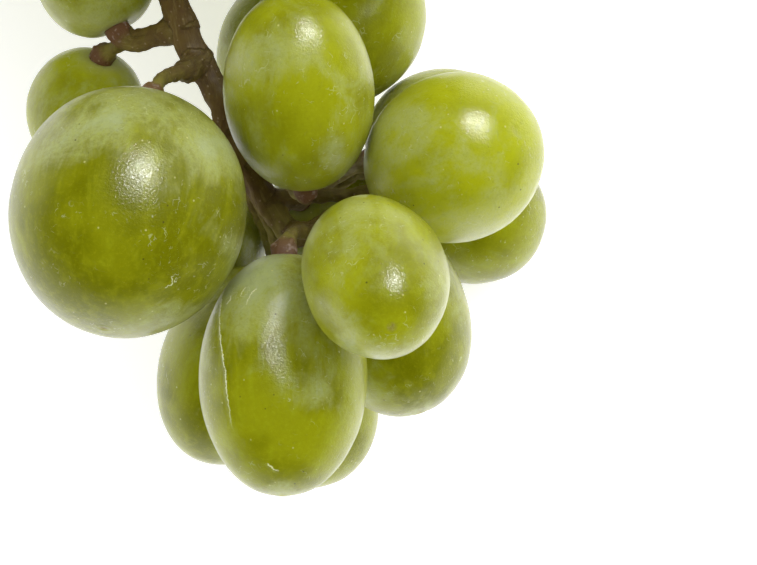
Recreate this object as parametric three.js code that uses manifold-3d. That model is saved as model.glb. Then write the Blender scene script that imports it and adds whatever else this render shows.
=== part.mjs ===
// A bunch of green table grapes, lying on its side on a flat surface: one branching stem and its berries.
// Millimetres. +Z is up from the surface, +Y runs along the stem to its cut end, and the origin is on the
// surface, under the middle of the bunch.
import * as THREE from "three";
import { mergeVertices } from "three/addons/utils/BufferGeometryUtils.js";
import Module from "manifold-3d";

const wasm = await Module();
wasm.setup();

// Driving dimensions.
const SKIN_GAP = 0.3; // clearance between neighbours
const REST_PRESS = 0.5; // how far a berry that bears weight is pressed flat on the surface
const BERRY_SIDES = 12;
const BERRY_BANDS = 8;
const RACHIS_SIDES = 8;
const BRANCH_SIDES = 6;
const LATERAL_DIAMETER = 2.4; // a side branch of the stem
const PEDICEL_DIAMETER = 1.7; // the stalk of one berry
const RECEPTACLE_DIAMETER = 3.2; // the pad at the stalk's end, against the berry
const RECEPTACLE_LENGTH = 1.6;
const FORK_SHARE = 0.3; // how far out a side branch runs before it forks into stalks
const STALK_LEAD = 4; // a stalk meets its berry square on over this length
const STALK_RUN_ON = 0.5; // how far a stalk runs on past the fork, as a share of the side branch
const ROUTE_GAP = 0.5; // clearance between the stem and the berries that it passes
const STEM_CUT_GAP = 0.25; // where a bend comes closer than this, it is shaved
const ROUTE_ROUNDS = 20; // how long a path is worked clear of the berries
const ROUTE_SMOOTHING = 0.1;
const LATERAL_STEPS = 4;
const STALK_STEPS = 7;
const STALK_POINTS = 8;
const RACHIS_STEPS = 30;
const WELD = 0.001; // corners closer than this are one
const GROUND_SIDE = 60; // the block that cuts a berry flat where it rests
const GROUND_DEPTH = 20;

// The rachis, the stem's main axis, from the cut end to the tip: x, y, z, diameter.
const RACHIS = [
  [2, 67, 33, 4.8],
  [-1, 50, 34, 4.2],
  [-5, 31, 34.5, 4],
  [-5.5, 12, 34.5, 3.8],
  [-3, -3, 34, 3.4],
  [0.5, -14.5, 33.5, 3],
  [3.5, -20, 33, 2.8],
  [5.5, -25.5, 32.5, 2.7],
  [8.5, -31.5, 32, 2.5],
  [12.5, -37, 31.5, 2.2],
];

// The open lower end of the bunch, laid out berry by berry. Each side branch leaves the rachis at y and
// carries berries: middle, length, width and the direction from the middle to the stalk.
const LOWER_BRANCHES = [
  {
    letter: "a",
    y: -36.5,
    berries: [
      { at: [21.5, -41.5, 58], long: 22.5, wide: 14.5, stalk: [-0.15, 0.45, -0.9] },
      { at: [12, -51, 47], long: 26, wide: 17.5, stalk: [0, 0.95, -0.2] },
      { at: [22.5, -46, 33], long: 23, wide: 18, stalk: [-0.3, 0.95, -0.2] },
    ],
  },
  {
    letter: "b",
    y: -33,
    berries: [
      { at: [30, -28.5, 42], long: 20.5, wide: 18, stalk: [-0.6, -0.25, -0.75] },
      { at: [29, -25, 24.5], long: 17.5, wide: 16, stalk: [-0.9, -0.3, 0.3] },
      { at: [32.5, -33.5, 8.5], long: 19.5, wide: 17, stalk: [-0.7, 0.2, 0.45] },
      { at: [17, -33.5, 16.5], long: 17, wide: 15, stalk: [-0.4, 0.1, 0.7] },
    ],
  },
  {
    letter: "c",
    y: -29,
    berries: [
      { at: [13.5, -21.5, 44.5], long: 22, wide: 16, stalk: [0.05, -0.9, -0.4] },
      { at: [19, -12, 27], long: 19.5, wide: 16.5, stalk: [-0.2, -0.9, 0.3] },
      { at: [11, -14, 12], long: 20, wide: 17, stalk: [-0.2, -0.8, 0.5] },
    ],
  },
  {
    letter: "d",
    y: -25,
    berries: [
      { at: [2.5, -36, 18], long: 16.5, wide: 14.5, stalk: [0.4, 0.6, 0.6] },
      { at: [6, -51.3, 25.5], long: 24, wide: 17.5, stalk: [0.4, 0.9, 0.2] },
      { at: [13, -57.5, 9], long: 19.5, wide: 18, stalk: [-0.1, 0.9, 0.4] },
    ],
  },
  {
    letter: "e",
    y: -17,
    berries: [{ at: [-4, -35, 49.5], long: 26.5, wide: 24.5, stalk: [0.15, 0.92, -0.36] }],
  },
  {
    letter: "f",
    y: -13.5,
    berries: [
      { at: [-10.5, -6.5, 30], long: 15, wide: 13.5, stalk: [0.4, -0.9, 0.1] },
      { at: [-12, -22, 24], long: 14.5, wide: 13.5, stalk: [0.3, 0.75, 0.5] },
    ],
  },
];

// The full upper end, grown by rule: side branches a step apart, each turned on by the golden angle.
const UPPER_LETTERS = "ghijklm";
const UPPER_FIRST_Y = 0;
const UPPER_STEP = 6.2;
const UPPER_BERRIES = [5, 5, 5, 4, 4, 4, 3]; // on each side branch, from the lower end up
const UPPER_REACH = 19; // from the rachis to a berry's middle, before the berries settle
const UPPER_SPREAD = 0.75; // angle between neighbours of one branch, radians
const UPPER_LEAN = 3; // how far up along the stem a berry lies from its root
const UPPER_STAGGER = [-1, 7]; // added to that for every other berry of a branch
const UPPER_SCATTER = 2;
const UPPER_LONG = [18.5, 22.5];
const UPPER_ROUNDNESS = [0.8, 0.92]; // width over length
const UPPER_LOWEST_Y = -4.5; // no upper berry hangs lower along the stem than this
const UPPER_HIGHEST_Y = 52;
const GOLDEN_ANGLE = Math.PI * (3 - Math.sqrt(5));
const FIRST_TURN = 0.4;
const SEED = 7;

// Skins differ a little in shade from berry to berry: hue and lightness, from one end to the other.
const SKIN_HUE = [0.17, 0.19];
const SKIN_SATURATION = 0.7;
const SKIN_LIGHTNESS = [0.3, 0.36];
const SHADE_STEP = 0.618;

// How the berries settle against each other.
const SETTLE_ROUNDS = 900;
const LAID_OUT_FREEDOM = 0.002; // a laid out berry yields this much, and an upper one fully
const EASED_SHARE = 0.8; // the berries hang for this share of the rounds, and are only kept apart after it
const WEIGHT_STEP = 0.05;
const TETHER_LENGTH = 15; // from the rachis to the middle of an upper berry
const TETHER_PULL = 0.03;
const STALK_TURN = 0.2; // how quickly a stalk turns to its branch
const DEEPEST_SHARE = 0.2; // a point deeper in a berry than this share is moved as if it were this deep

const vector = (p) => new THREE.Vector3(p[0], p[1], p[2]);
const mix = (a, b, t) => a + (b - a) * t;

// The same run of numbers between 0 and 1 each time.
function repeatableNumbers(seed) {
  let state = seed >>> 0;
  return () => {
    state = (Math.imul(state, 1664525) + 1013904223) >>> 0;
    return state / 4294967296;
  };
}

// The rachis at a height y along it: its middle and its diameter.
function rachisAt(y) {
  let i = 0;
  while (i < RACHIS.length - 2 && RACHIS[i + 1][1] > y) i += 1;
  const [from, to] = [RACHIS[i], RACHIS[i + 1]];
  const t = THREE.MathUtils.clamp((y - from[1]) / (to[1] - from[1]), 0, 1);
  return { at: vector(from).lerp(vector(to), t), diameter: mix(from[3], to[3], t) };
}

// A berry is a spheroid: a middle, half its length, half its width and the unit vector to its stalk.
function makeBerry(name, branch, at, long, wide, stalk, freedom) {
  return { name, branch, at, half: long / 2, wide: wide / 2, stalk: stalk.normalize(), freedom };
}

// How far a berry reaches from its middle along a unit direction.
function reach(berry, direction) {
  const c = berry.stalk.dot(direction);
  return Math.sqrt((berry.half * c) ** 2 + berry.wide ** 2 * (1 - c * c));
}

const UP = new THREE.Vector3(0, 0, 1);
const ALONG = new THREE.Vector3(0, 1, 0);

function layOutLowerBerries(branches) {
  return LOWER_BRANCHES.flatMap(({ letter, y, berries }) => {
    const branch = { root: rachisAt(y).at, berries: [] };
    branches.push(branch);
    berries.forEach((b, i) => {
      const name = `berry_${letter}${i + 1}`;
      const berry = makeBerry(name, branch, vector(b.at), b.long, b.wide, vector(b.stalk), LAID_OUT_FREEDOM);
      branch.berries.push(berry);
    });
    return branch.berries;
  });
}

function growUpperBerries(branches) {
  const random = repeatableNumbers(SEED);
  return UPPER_BERRIES.flatMap((count, k) => {
    const letter = UPPER_LETTERS[k];
    const branch = { root: rachisAt(UPPER_FIRST_Y + k * UPPER_STEP).at, berries: [] };
    branches.push(branch);
    for (let i = 0; i < count; i += 1) {
      const turn = FIRST_TURN + k * GOLDEN_ANGLE + (i - (count - 1) / 2) * UPPER_SPREAD;
      const out = new THREE.Vector3(Math.cos(turn), 0, Math.sin(turn));
      const at = branch.root.clone().addScaledVector(out, UPPER_REACH);
      at.y += UPPER_LEAN + UPPER_STAGGER[i % 2] + UPPER_SCATTER * random();
      const long = mix(...UPPER_LONG, random());
      const wide = long * mix(...UPPER_ROUNDNESS, random());
      branch.berries.push(makeBerry(`berry_${letter}${i + 1}`, branch, at, long, wide, out.negate(), 1));
    }
    return branch.berries;
  });
}

// Pushes two berries apart, each by its freedom, until they clear each other.
function separate(a, b) {
  const between = b.at.clone().sub(a.at);
  const distance = between.length();
  between.divideScalar(distance);
  const overlap = reach(a, between) + reach(b, between) + SKIN_GAP - distance;
  if (overlap <= 0) return;
  const freedom = a.freedom + b.freedom;
  a.at.addScaledVector(between, (-0.5 * overlap * a.freedom) / freedom);
  b.at.addScaledVector(between, (0.5 * overlap * b.freedom) / freedom);
}

// The share of the way from a berry's middle to its skin, grown by a margin, at which a point lies.
function share(berry, point, margin) {
  const away = point.clone().sub(berry.at);
  const along = away.dot(berry.stalk);
  const across = Math.sqrt(Math.max(0, away.lengthSq() - along * along));
  return Math.hypot(along / (berry.half + margin), across / (berry.wide + margin));
}

// Pushes a berry off the rachis.
function clearRachis(berry, beads) {
  for (const bead of beads) {
    const s = share(berry, bead.at, bead.diameter / 2 + ROUTE_GAP);
    if (s < 1) berry.at.addScaledVector(bead.at.clone().sub(berry.at), 1 - 1 / Math.max(s, DEEPEST_SHARE));
  }
}

// An upper berry hangs on its branch, sags, stays in the upper end and turns its stalk to the branch.
function hang(berry) {
  const root = berry.branch.root;
  const toRoot = root.clone().sub(berry.at);
  const slack = toRoot.length() - TETHER_LENGTH;
  berry.at.addScaledVector(toRoot.clone().normalize(), slack * TETHER_PULL);
  berry.at.z -= WEIGHT_STEP;
  const reachY = reach(berry, ALONG);
  berry.at.y = THREE.MathUtils.clamp(berry.at.y, UPPER_LOWEST_Y + reachY, UPPER_HIGHEST_Y - reachY);
  berry.stalk.lerp(toRoot.normalize(), STALK_TURN).normalize();
}

function settle(berries) {
  const beads = [];
  for (let y = RACHIS.at(-1)[1]; y <= RACHIS[0][1]; y += 1) beads.push(rachisAt(y));
  for (let round = 0; round < SETTLE_ROUNDS; round += 1) {
    const easing = round < SETTLE_ROUNDS * EASED_SHARE;
    berries.forEach((berry) => {
      if (berry.freedom === 1 && easing) hang(berry);
    });
    berries.forEach((a, i) => berries.slice(i + 1).forEach((b) => separate(a, b)));
    berries.forEach((berry) => {
      clearRachis(berry, beads);
      berry.at.z = Math.max(berry.at.z, reach(berry, UP) - REST_PRESS);
    });
  }
}

// Closed meshes become solids by merging the vertices that they share.
function toSolid(geometry) {
  const bare = geometry.clone();
  bare.deleteAttribute("normal");
  bare.deleteAttribute("uv");
  const merged = mergeVertices(bare, WELD);
  return new wasm.Manifold(
    new wasm.Mesh({
      numProp: 3,
      vertProperties: merged.attributes.position.array,
      triVerts: new Uint32Array(merged.index.array),
    }),
  );
}

function toGeometry(solid) {
  const { vertProperties, triVerts } = solid.getMesh();
  const geometry = new THREE.BufferGeometry();
  geometry.setAttribute("position", new THREE.BufferAttribute(vertProperties, 3));
  geometry.setIndex(new THREE.BufferAttribute(triVerts, 1));
  geometry.computeVertexNormals();
  return geometry;
}

// A berry in its place, grown on every side by a margin.
function spheroid(berry, margin) {
  const profile = [];
  for (let i = 0; i <= BERRY_BANDS; i += 1) {
    const angle = (Math.PI * i) / BERRY_BANDS;
    const radius = i % BERRY_BANDS ? (berry.wide + margin) * Math.sin(angle) : 0;
    profile.push(new THREE.Vector2(radius, -(berry.half + margin) * Math.cos(angle)));
  }
  const geometry = new THREE.LatheGeometry(profile, BERRY_SIDES);
  geometry.applyQuaternion(new THREE.Quaternion().setFromUnitVectors(ALONG, berry.stalk));
  return geometry.translate(berry.at.x, berry.at.y, berry.at.z);
}

// One that bears on the surface is cut flat there.
function berryGeometry(berry) {
  const geometry = spheroid(berry, 0);
  geometry.computeBoundingBox();
  if (geometry.boundingBox.min.z >= 0) return geometry;
  const ground = new THREE.BoxGeometry(GROUND_SIDE, GROUND_SIDE, GROUND_DEPTH);
  ground.translate(berry.at.x, berry.at.y, -GROUND_DEPTH / 2);
  return toGeometry(toSolid(geometry).subtract(toSolid(ground)));
}

// Moves a point of the stem off every berry.
function clearPoint(point, radius, berries) {
  for (const berry of berries) {
    const s = share(berry, point, radius + ROUTE_GAP);
    if (s < 1) point.addScaledVector(point.clone().sub(berry.at), 1 / Math.max(s, DEEPEST_SHARE) - 1);
  }
}

// Bends a path of points clear of every berry, keeping its two ends.
function clearPath(points, radius, berries) {
  for (let round = 0; round < ROUTE_ROUNDS; round += 1) {
    for (let i = 1; i < points.length - 1; i += 1) {
      const middle = points[i - 1].clone().lerp(points[i + 1], 0.5);
      points[i].lerp(middle, ROUTE_SMOOTHING);
      clearPoint(points[i], radius, berries);
    }
  }
  return points;
}

// A round bar along a path, its radius set by how far along it is: a cylinder bent along a smooth curve.
function bar(points, radiusAt, sides, steps) {
  const curve = new THREE.CatmullRomCurve3(points, false, "centripetal");
  const frames = curve.computeFrenetFrames(steps, false);
  const geometry = new THREE.CylinderGeometry(1, 1, 1, sides, steps);
  const position = geometry.attributes.position;
  for (let i = 0; i < position.count; i += 1) {
    const step = Math.round((0.5 - position.getY(i)) * steps);
    const t = step / steps;
    const at = curve.getPointAt(t);
    const radius = radiusAt(t);
    at.addScaledVector(frames.normals[step], position.getX(i) * radius);
    at.addScaledVector(frames.binormals[step], position.getZ(i) * radius);
    position.setXYZ(i, at.x, at.y, at.z);
  }
  return toSolid(geometry);
}

// The stalk of one berry: from the fork, along the branch, round its neighbours and square onto the berry.
function stalkBar(branch, fork, berry, berries) {
  const end = berry.at.clone().addScaledVector(berry.stalk, berry.half + SKIN_GAP);
  const lead = end.clone().addScaledVector(berry.stalk, STALK_LEAD);
  const out = fork.clone().sub(branch.root).multiplyScalar(STALK_RUN_ON).add(fork);
  const rough = new THREE.CubicBezierCurve3(fork, out, lead, end).getSpacedPoints(STALK_POINTS);
  const path = clearPath(rough, PEDICEL_DIAMETER / 2, berries);
  const length = new THREE.CatmullRomCurve3(path).getLength();
  const swelling = (t) => Math.max(0, 1 - ((1 - t) * length) / RECEPTACLE_LENGTH);
  const radiusAt = (t) => mix(PEDICEL_DIAMETER, RECEPTACLE_DIAMETER, swelling(t)) / 2;
  return bar(path, radiusAt, BRANCH_SIDES, STALK_STEPS);
}

function stemSolid(branches, berries) {
  const ends = [RACHIS[0][3], RACHIS.at(-1)[3]];
  let stem = bar(RACHIS.map(vector), (t) => mix(ends[0], ends[1], t) / 2, RACHIS_SIDES, RACHIS_STEPS);
  for (const branch of branches) {
    const middle = new THREE.Vector3();
    for (const berry of branch.berries) {
      middle.addScaledVector(berry.at, 1 / branch.berries.length);
      middle.addScaledVector(berry.stalk, berry.half / branch.berries.length);
    }
    const fork = branch.root.clone().lerp(middle, FORK_SHARE);
    for (let round = 0; round < ROUTE_ROUNDS; round += 1) clearPoint(fork, LATERAL_DIAMETER / 2, berries);
    const halfway = branch.root.clone().lerp(fork, 0.5);
    const path = clearPath([branch.root, halfway, fork], LATERAL_DIAMETER / 2, berries);
    stem = stem.add(bar(path, () => LATERAL_DIAMETER / 2, BRANCH_SIDES, LATERAL_STEPS));
    for (const berry of branch.berries) stem = stem.add(stalkBar(branch, fork, berry, berries));
  }
  for (const berry of berries) {
    const room = toSolid(spheroid(berry, STEM_CUT_GAP));
    if (stem.intersect(room).volume() > 0) stem = stem.subtract(room);
  }
  const bodies = stem.decompose(); // joining bars can leave crumbs of no volume
  return bodies.reduce((largest, body) => (body.volume() > largest.volume() ? body : largest));
}

const branches = [];
const berries = [...layOutLowerBerries(branches), ...growUpperBerries(branches)];
settle(berries);

const stemMaterial = new THREE.MeshStandardMaterial({ color: 0x6b5426, roughness: 0.8, metalness: 0 });
const skinMaterial = (shade) =>
  new THREE.MeshStandardMaterial({
    color: new THREE.Color().setHSL(mix(...SKIN_HUE, shade), SKIN_SATURATION, mix(...SKIN_LIGHTNESS, shade)),
    roughness: 0.4,
    metalness: 0,
  });

const bunch = new THREE.Group();
bunch.name = "bunch_of_grapes";
const stem = new THREE.Mesh(toGeometry(stemSolid(branches, berries)), stemMaterial);
stem.name = "stem";
bunch.add(stem);
berries.forEach((berry, i) => {
  const mesh = new THREE.Mesh(berryGeometry(berry), skinMaterial((i * SHADE_STEP) % 1));
  mesh.name = berry.name;
  bunch.add(mesh);
});

export default bunch;
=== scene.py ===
"""The looks of a bunch of green table grapes, built around its fixed frame.

The file is laid out as an add-on: the panel in the 3D view's sidebar lists one step for each group
of like pieces and one for the studio, and main() runs them in order. Lengths inside the functions
are millimetres, in the frame's own axes: +Z up from the surface, +Y along the stem to its cut end.
"""

import math

import bpy
import numpy as np
from bpy.props import FloatProperty, FloatVectorProperty, IntProperty, PointerProperty
from bpy.types import Operator, Panel, PropertyGroup
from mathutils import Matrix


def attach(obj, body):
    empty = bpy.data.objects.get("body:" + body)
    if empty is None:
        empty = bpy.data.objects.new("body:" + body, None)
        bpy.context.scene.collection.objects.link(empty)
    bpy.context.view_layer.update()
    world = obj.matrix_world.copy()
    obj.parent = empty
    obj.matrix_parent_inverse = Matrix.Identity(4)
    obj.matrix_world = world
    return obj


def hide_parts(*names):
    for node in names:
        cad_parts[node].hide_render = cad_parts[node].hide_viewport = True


bl_info = {
    "name": "Bunch of Green Grapes",
    "version": (1, 0, 0),
    "blender": (4, 5, 0),
    "location": "View3D > Sidebar > Grapes",
    "description": "Builds the berries, the stem and the studio of a bunch of green grapes",
    "category": "Add Mesh",
}

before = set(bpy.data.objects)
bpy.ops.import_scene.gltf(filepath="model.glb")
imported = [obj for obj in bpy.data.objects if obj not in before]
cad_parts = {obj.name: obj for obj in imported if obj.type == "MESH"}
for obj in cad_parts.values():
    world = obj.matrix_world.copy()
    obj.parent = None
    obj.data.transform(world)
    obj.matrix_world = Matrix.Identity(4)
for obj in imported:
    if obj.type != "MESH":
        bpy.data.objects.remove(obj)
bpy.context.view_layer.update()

MM = 0.001
BODY = "root"
UP = np.array([0.0, 0.0, 1.0])
AHEAD = np.array([0.0, 1.0, 0.0])
STEEP = 0.9  # the height of a unit direction that is too near upright to be measured from UP

# The rachis, the stem's main axis, from the cut end to the tip: x, y, z, diameter.
RACHIS = np.array(
    [
        [2, 67, 33, 4.8],
        [-1, 50, 34, 4.2],
        [-5, 31, 34.5, 4],
        [-5.5, 12, 34.5, 3.8],
        [-3, -3, 34, 3.4],
        [0.5, -14.5, 33.5, 3],
        [3.5, -20, 33, 2.8],
        [5.5, -25.5, 32.5, 2.7],
        [8.5, -31.5, 32, 2.5],
        [12.5, -37, 31.5, 2.2],
    ]
)

# Where along the rachis each side branch leaves it. A berry's letter is its branch's.
LOWER_ROOTS = {"a": -36.5, "b": -33, "c": -29, "d": -25, "e": -17, "f": -13.5}
UPPER_ROOTS = {letter: 6.2 * k for k, letter in enumerate("ghijklm")}
ROOTS = {**LOWER_ROOTS, **UPPER_ROOTS}

# The near berries, which are made finer than the rest. Where their wax is thick (above 0) or rubbed
# away (below 0): x and y of a spot seen from above, its width, all in shares of the berry's half
# width, and how much there.
WAX_SPOTS = {
    "e1": (
        (0.1, 0.8, 0.45, 0.24),
        (-0.5, 0.55, 0.3, 0.14),
        (0.8, 0.5, 0.3, 0.2),
        (0.95, -0.3, 0.2, 0.2),
        (0.45, -0.92, 0.25, 0.16),
        (-0.1, -0.25, 0.6, -0.34),
        (-0.6, 0.0, 0.4, -0.08),
        (0.2, 0.55, 0.12, -0.14),
        (0.78, 0.1, 0.1, -0.16),
        (0.88, -0.12, 0.08, -0.14),
        (0.75, -0.4, 0.12, -0.14),
        (0.55, -0.66, 0.12, -0.12),
    ),
    "c1": (
        (-0.5, 0.3, 0.45, 0.14),
        (0.0, 0.45, 0.35, 0.1),
        (0.5, 0.7, 0.3, -0.16),
        (-0.65, 0.85, 0.3, -0.1),
        (0.1, -0.35, 0.4, -0.24),
        (0.45, -0.78, 0.2, 0.2),
        (-0.15, -1.0, 0.25, 0.1),
        (-0.55, -0.5, 0.25, 0.08),
        (0.0, -1.25, 0.3, -0.15),
    ),
    "b1": (
        (-0.65, 0.3, 0.4, 0.22),
        (0.42, -0.5, 0.3, 0.12),
        (0.3, -0.85, 0.2, 0.16),
        (0.05, 0.75, 0.35, -0.16),
        (0.78, 0.0, 0.2, -0.15),
    ),
    "a1": (
        (-0.35, 0.8, 0.35, 0.2),
        (0.8, -0.3, 0.2, 0.08),
        (-0.35, -1.0, 0.25, 0.22),
        (0.1, -1.12, 0.25, 0.22),
        (0.37, -0.45, 0.3, -0.12),
        (-0.2, 0.1, 0.4, -0.05),
    ),
    "a2": (
        (-0.37, 1.2, 0.42, 0.42),
        (0.2, 0.9, 0.4, 0.18),
        (-0.43, 0.55, 0.3, 0.1),
        (0.4, -0.2, 0.18, 0.2),
        (-0.3, -0.43, 0.35, -0.2),
        (0.2, -0.9, 0.45, -0.24),
        (0.06, -1.42, 0.2, 0.2),
        (-0.8, -0.3, 0.25, -0.12),
        (0.86, -0.9, 0.3, -0.12),
    ),
    "a3": ((0.5, -0.7, 0.45, -0.14), (0.4, -1.12, 0.22, 0.18), (0.75, 0.3, 0.3, 0.12)),
}

# Fine creases in the skin: points by how far towards the stalk, in millimetres, and the turn from
# the top towards -X, in degrees. The last value is the ridge's height in millimetres.
CREASES = {
    "a2": (
        (((9, 72), (5.5, 54), (0, 41), (-3, 39), (-7, 40)), 0.11),
        (((8.4, 34), (7.6, 36), (6.9, 36)), 0.03),
        (((7.9, 20), (7.5, 25), (5.9, 29)), 0.03),
        (((7.6, 50), (6.9, 47), (6.4, 52)), 0.03),
        (((-9.9, 16), (-10.5, 10), (-10.9, 1)), 0.08),
    ),
    "a3": ((((-1, 72), (-3.5, 70), (-5.5, 68), (-7.5, 66), (-9, 60)), 0.13),),
    "e1": (
        (((-8.6, -43), (-9.1, -46), (-9.9, -45)), 0.05),
        (((-8.8, -51), (-9.2, -47), (-9.5, -49)), 0.05),
    ),
}

# Berries that grew pressed against a neighbour that is gone: the way their flattened side faces,
# and how much of the berry it takes off, in millimetres.
FLATS = {"a2": ((0.14, 0.34, 0.93), 0.66)}

# How pale the flesh of a near berry is, set berry by berry: below 0 it is deep all over, and above 1
# pale all over. The others are chosen by chance.
FLESH_TONE = {
    "e1": -0.4,
    "c1": 0.6,
    "b1": 1.4,
    "a1": 0.5,
    "a2": 0.2,
    "a3": 0.0,
    "b3": 0.1,
    "d2": 0.0,
    "c2": 0.4,
}

# How plain the dry scar of the flower is on a near berry, where it isn't as on the others.
SCARS = {"b1": 0.25, "a1": 0.6, "e1": 0.7}


# --------------------------------------------------------------------------------------------------
# Sizes and colours that a user would change
# --------------------------------------------------------------------------------------------------


class BerrySettings(PropertyGroup):
    """Sizes and colours of the berries."""

    fine_rows: IntProperty(
        name="Fine rows", description="Rows of faces on a near berry", default=200
    )
    plain_rows: IntProperty(name="Rows", description="Rows of faces on any other berry", default=84)
    growth: FloatProperty(
        name="Growth",
        description="How far the skin stands out of the plain spheroid",
        default=0.0001,
        unit="LENGTH",
    )
    lumps: FloatProperty(
        name="Lumps",
        description="Height of the slow unevenness of a berry",
        default=0.00016,
        unit="LENGTH",
    )
    deep: FloatVectorProperty(
        name="Deep flesh",
        description="Colour of clear skin over deep flesh",
        default=(0.18, 0.19, 0.0),
        subtype="COLOR",
    )
    light: FloatVectorProperty(
        name="Light flesh",
        description="Colour of clear skin where the flesh is pale",
        default=(0.41, 0.44, 0.008),
        subtype="COLOR",
    )
    bloom: FloatVectorProperty(
        name="Bloom",
        description="Colour of the wax on the skin",
        default=(0.46, 0.5, 0.19),
        subtype="COLOR",
    )


class StemSettings(PropertyGroup):
    """Sizes and colours of the stem."""

    voxel: FloatProperty(
        name="Voxel",
        description="Size of the cells in which the bars grow together",
        default=0.00028,
        unit="LENGTH",
    )
    wood: FloatVectorProperty(
        name="Wood",
        description="Colour of the woody rachis",
        default=(0.15, 0.095, 0.02),
        subtype="COLOR",
    )
    young: FloatVectorProperty(
        name="Young stalk",
        description="Colour of the green stalks",
        default=(0.24, 0.21, 0.035),
        subtype="COLOR",
    )


class StudioSettings(PropertyGroup):
    """Camera, floor and lights."""

    aim: FloatVectorProperty(
        name="Camera over",
        description="Point of the surface that the camera hangs over",
        default=(0.022, -0.042),
        size=2,
        subtype="XYZ",
        unit="LENGTH",
    )
    height: FloatProperty(
        name="Camera height",
        description="Height of the camera above the surface",
        default=0.293,
        unit="LENGTH",
    )
    lens: FloatProperty(name="Lens", description="Focal length in millimetres", default=110.0)
    floor_side: FloatProperty(
        name="Floor side", description="Side of the square floor", default=4.0, unit="LENGTH"
    )
    glow: FloatProperty(
        name="Floor glow", description="Light that the floor gives off, to show white", default=0.52
    )
    surround: FloatProperty(
        name="Surround", description="Brightness of the white room", default=0.74
    )
    softbox: FloatProperty(
        name="Softbox", description="Power of the large softbox in watts", default=4.2
    )
    gleam: FloatProperty(
        name="Gleam",
        description="Power of the small light seen in the highlights, in watts",
        default=5.6,
    )


# --------------------------------------------------------------------------------------------------
# Small tools
# --------------------------------------------------------------------------------------------------


# Numbers by which the lattice of the noise is mixed, and the bits of the mix that are kept.
CELL_PRIMES = (73856093, 19349663, 83492791)
SEED_PRIME = 6151
MIX_PRIME = 40503
LOW_BITS = 0xFFFF


def unit(vectors):
    """Vectors scaled to length 1."""
    return vectors / np.linalg.norm(vectors, axis=-1, keepdims=True)


def smooth(low, high, values):
    """0 below low, 1 above high and an S-shaped step between."""
    t = np.clip((values - low) / (high - low), 0, 1)
    return t * t * (3 - 2 * t)


def ramp(values, ease):
    """0 below 0 and the value above it, with a rounded corner: half of v + sqrt(v^2 + ease^2)."""
    return 0.5 * (values + np.sqrt(values**2 + ease**2))


def bell(values, height, width):
    """The bell h exp(-(v / w)^2)."""
    return height * np.exp(-((values / width) ** 2))


def lattice(cells, seed):
    """A repeatable number from -1 to 1 for each cell, by mixing its three whole numbers."""
    mixed = (cells * np.array(CELL_PRIMES)).sum(-1) + seed * SEED_PRIME
    mixed = (mixed ^ (mixed >> 11)) * MIX_PRIME
    mixed = mixed ^ (mixed >> 7)
    return (mixed & LOW_BITS) / ((LOW_BITS + 1) / 2) - 1


def cloud(points, size, seed):
    """Smooth noise from -1 to 1: numbers at a lattice's corners, blended by an S-shaped step."""
    cell = points / size
    corner = np.floor(cell).astype(np.int64)
    part = cell - corner
    part = part * part * (3 - 2 * part)
    total = np.zeros(points.shape[:-1])
    for step in np.ndindex(2, 2, 2):
        share = np.where(np.array(step) == 1, part, 1 - part).prod(-1)
        total += share * lattice(corner + np.array(step), seed)
    return total


def mesh_points(obj):
    """A mesh's points in millimetres, each once."""
    flat = np.empty(len(obj.data.vertices) * 3, np.float32)
    obj.data.vertices.foreach_get("co", flat)
    return np.unique(np.round(flat.reshape(-1, 3).astype(float) / MM, 3), axis=0)


def new_piece(name, points, faces, material):
    """A smooth-shaded mesh object at the origin, from points in millimetres."""
    mesh = bpy.data.meshes.new(name)
    mesh.from_pydata((points * MM).tolist(), [], faces)
    mesh.polygons.foreach_set("use_smooth", np.ones(len(mesh.polygons), bool))
    mesh.materials.append(material)
    piece = bpy.data.objects.new(name, mesh)
    bpy.context.scene.collection.objects.link(piece)
    return piece


def note(mesh, name, values):
    """Stores a number or a vector at each point, for the material to read."""
    vector = values.ndim == 2
    attribute = mesh.attributes.new(name, "FLOAT_VECTOR" if vector else "FLOAT", "POINT")
    attribute.data.foreach_set("vector" if vector else "value", values.astype(np.float32).ravel())


def closed_grid_faces(rows, columns, first_point=0, flipped=False):
    """Faces of a grid of rows round an axis, closed by a fan on a single point at each end.

    Points are numbered row by row, then the first end's point and the last end's point. The faces
    point outwards when the rows go down the axis that the columns turn about, and flipped when they
    go up it.
    """
    row = np.arange(rows - 1)[:, None] * columns
    here = np.arange(columns)
    there = (here + 1) % columns
    quads = np.stack([row + here, row + columns + here, row + columns + there, row + there], -1)
    ends = np.full(columns, rows * columns)
    last = (rows - 1) * columns
    caps = np.stack([ends, here, there], -1), np.stack([ends + 1, last + there, last + here], -1)
    faces = []
    for block in (quads.reshape(-1, 4), *caps):
        if flipped:
            block = np.roll(block[:, ::-1], 1, axis=1)
        faces += (block + first_point).tolist()
    return faces


# --------------------------------------------------------------------------------------------------
# Materials
# --------------------------------------------------------------------------------------------------


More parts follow.
